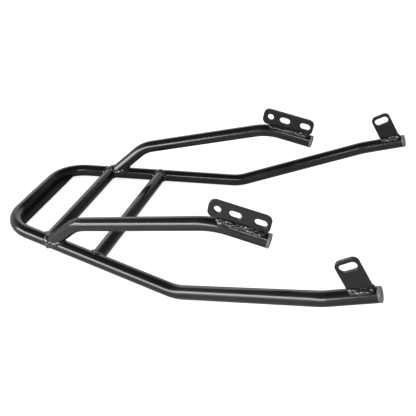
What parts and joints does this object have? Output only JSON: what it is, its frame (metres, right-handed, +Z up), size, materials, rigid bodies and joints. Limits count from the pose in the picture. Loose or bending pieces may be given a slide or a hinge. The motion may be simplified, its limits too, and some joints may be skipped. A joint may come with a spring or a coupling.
{
  "type": "motorcycle rear rack",
  "caption": "Welded round-tube rear luggage rack: flat hoop with crossbars, two raised rails with slotted side plates, and slotted tabs on its spreading arms.",
  "frame": {"origin": "under the middle of the rack's bounding box, on the surface that the hoop lies on", "axes": "+X to the front of the motorcycle (towards the tabs), +Y to its left, +Z up as the picture shows the rack lying; the rack is symmetric about the XZ plane"},
  "size_m": [0.589, 0.4436, 0.1614],
  "materials": {
    "tube_coat": "satin gloss black powder coat on round steel tube",
    "plate_coat": "satin black powder coat on flat steel",
    "weld_coat": "gloss black powder coat over rippled weld beads",
    "cap_plastic": "matt black moulded plastic"
  },
  "bodies": {
    "root": {"hoop_tube": "tube_coat", "crossbar_rear": "tube_coat", "crossbar_front": "tube_coat", "rail_left": "tube_coat", "rail_right": "tube_coat", "rear_strip": "plate_coat", "plate_left": "plate_coat", "plate_right": "plate_coat", "tab_left": "plate_coat", "tab_right": "plate_coat", "weld_strip": "weld_coat", "weld_crossbar_rear_left": "weld_coat", "weld_crossbar_rear_right": "weld_coat", "weld_crossbar_front_left": "weld_coat", "weld_crossbar_front_right": "weld_coat", "weld_rail_left": "weld_coat", "weld_rail_right": "weld_coat", "weld_plate_left": "weld_coat", "weld_plate_right": "weld_coat", "weld_tab_left": "weld_coat", "weld_tab_right": "weld_coat", "cap_arm_left": "cap_plastic", "cap_arm_right": "cap_plastic", "cap_rail_left": "cap_plastic", "cap_rail_right": "cap_plastic"}
  },
  "joints": []
}
